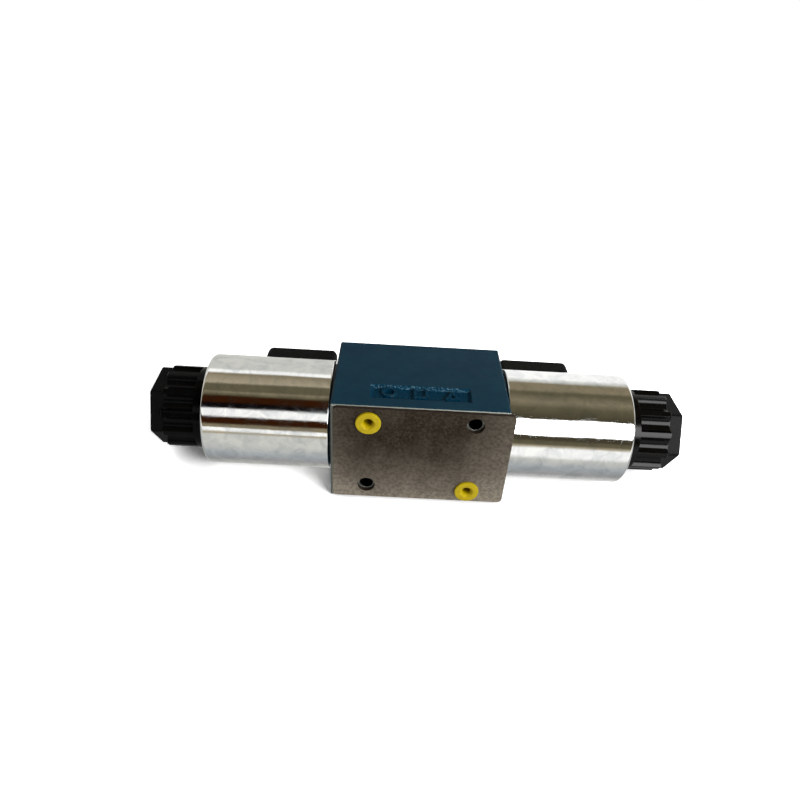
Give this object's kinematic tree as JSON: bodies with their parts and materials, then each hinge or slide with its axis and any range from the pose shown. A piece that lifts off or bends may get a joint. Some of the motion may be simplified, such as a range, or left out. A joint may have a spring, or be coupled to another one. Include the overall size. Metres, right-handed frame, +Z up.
{
  "type": "solenoid directional valve",
  "caption": "Directional spool valve block with a solenoid coil and a fluted retaining nut on each end, lying on its side with a transport cover on its port face.",
  "frame": {"origin": "middle of the body's mounting face, level with the spool axis", "axes": "+X along the spool towards solenoid a, -Y out of the mounting face, +Z up as the valve lies on its side face"},
  "size_m": [0.2142, 0.0627, 0.0454],
  "materials": {
    "body_paint": "satin blue machine enamel over cast iron",
    "cover_steel": "dull phosphated sheet, mottled and lightly scuffed",
    "plug_plastic": "soft yellow polyethylene",
    "plate_aluminium": "satin",
    "ground_steel": "ground and polished",
    "turned_steel": "fine turned",
    "tube_steel": "drawn tube",
    "spring_steel": "drawn wire",
    "shim_brass": "rolled",
    "coil_plating": "bright plating with faint drawing lines",
    "copper_wire": "enamelled copper wire",
    "bobbin_plastic": "moulded",
    "connector_plastic": "moulded, slightly grained",
    "nut_plastic": "moulded glass-filled plastic with a soft sheen",
    "blade_tin": "tinned",
    "seal_rubber": "moulded"
  },
  "bodies": {
    "valve_body": {"valve_body": "body_paint", "port_o_rings": "seal_rubber", "nameplate": "plate_aluminium", "nameplate_rivets": "plate_aluminium", "return_spring_a": "spring_steel", "pole_piece_a": "turned_steel", "pole_shim_a": "shim_brass", "core_tube_a": "tube_steel", "tube_end_plug_a": "turned_steel", "tube_seal_a": "seal_rubber", "override_seal_a": "seal_rubber", "coil_seal_a": "seal_rubber", "return_spring_b": "spring_steel", "pole_piece_b": "turned_steel", "pole_shim_b": "shim_brass", "core_tube_b": "tube_steel", "tube_end_plug_b": "turned_steel", "tube_seal_b": "seal_rubber", "override_seal_b": "seal_rubber", "coil_seal_b": "seal_rubber"},
    "transport_cover": {"transport_plate": "cover_steel", "transport_plugs": "plug_plastic"},
    "spool": {"spool": "ground_steel", "spring_seat_a": "ground_steel", "spring_seat_b": "ground_steel"},
    "armature_a": {"armature_a": "turned_steel", "push_pin_a": "ground_steel"},
    "override_pin_a": {"override_pin_a": "ground_steel"},
    "coil_a": {"coil_case_a": "coil_plating", "coil_winding_a": "copper_wire", "coil_bobbin_a": "bobbin_plastic", "coil_end_disc_a": "turned_steel", "connector_base_a": "connector_plastic", "screw_insert_a": "shim_brass", "contact_blades_a": "blade_tin"},
    "nut_seal_a": {"nut_seal_a": "seal_rubber"},
    "coil_nut_a": {"coil_nut_a": "nut_plastic"},
    "armature_b": {"armature_b": "turned_steel", "push_pin_b": "ground_steel"},
    "override_pin_b": {"override_pin_b": "ground_steel"},
    "coil_b": {"coil_case_b": "coil_plating", "coil_winding_b": "copper_wire", "coil_bobbin_b": "bobbin_plastic", "coil_end_disc_b": "turned_steel", "connector_base_b": "connector_plastic", "screw_insert_b": "shim_brass", "contact_blades_b": "blade_tin"},
    "nut_seal_b": {"nut_seal_b": "seal_rubber"},
    "coil_nut_b": {"coil_nut_b": "nut_plastic"}
  },
  "joints": [
    {"name": "spool_slide", "type": "slide", "parent": "valve_body", "child": "spool", "axis": [1, 0, 0], "range_m": [-0.003, 0.003], "deforming": ["return_spring_a", "return_spring_b"]},
    {"name": "cover_pull_off", "type": "slide", "parent": "valve_body", "child": "transport_cover", "axis": [0, -1, 0], "range_m": [0, 0.03]},
    {"name": "armature_a_slide", "type": "slide", "parent": "valve_body", "child": "armature_a", "axis": [1, 0, 0], "range_m": [-0.003, 0.003]},
    {"name": "override_pin_a_slide", "type": "slide", "parent": "valve_body", "child": "override_pin_a", "axis": [1, 0, 0], "range_m": [-0.003, 0.003]},
    {"name": "coil_a_turn", "type": "hinge", "parent": "valve_body", "child": "coil_a", "pos_m": [0.06, 0.025, 0], "axis": [1, 0, 0], "range_deg": [0, 90]},
    {"name": "nut_a_travel", "type": "slide", "parent": "valve_body", "child": "nut_seal_a", "axis": [1, 0, 0], "range_m": [0, 0.0075]},
    {"name": "nut_a_turn", "type": "hinge", "parent": "nut_seal_a", "child": "coil_nut_a", "pos_m": [0.096, 0.025, 0], "axis": [1, 0, 0], "range_deg": [0, 1800]},
    {"name": "armature_b_slide", "type": "slide", "parent": "valve_body", "child": "armature_b", "axis": [1, 0, 0], "range_m": [-0.003, 0.003]},
    {"name": "override_pin_b_slide", "type": "slide", "parent": "valve_body", "child": "override_pin_b", "axis": [1, 0, 0], "range_m": [-0.003, 0.003]},
    {"name": "coil_b_turn", "type": "hinge", "parent": "valve_body", "child": "coil_b", "pos_m": [-0.06, 0.025, 0], "axis": [1, 0, 0], "range_deg": [0, 90]},
    {"name": "nut_b_travel", "type": "slide", "parent": "valve_body", "child": "nut_seal_b", "axis": [-1, 0, 0], "range_m": [0, 0.0075]},
    {"name": "nut_b_turn", "type": "hinge", "parent": "nut_seal_b", "child": "coil_nut_b", "pos_m": [-0.096, 0.025, 0], "axis": [-1, 0, 0], "range_deg": [0, 1800]}
  ],
  "couplings": [
    {"joint": "armature_a_slide", "follows": "spool_slide", "ratio": 1},
    {"joint": "override_pin_a_slide", "follows": "spool_slide", "ratio": 1},
    {"joint": "nut_a_travel", "follows": "nut_a_turn", "m_per_rad": 0.00023873},
    {"joint": "armature_b_slide", "follows": "spool_slide", "ratio": 1},
    {"joint": "override_pin_b_slide", "follows": "spool_slide", "ratio": 1},
    {"joint": "nut_b_travel", "follows": "nut_b_turn", "m_per_rad": 0.00023873}
  ]
}
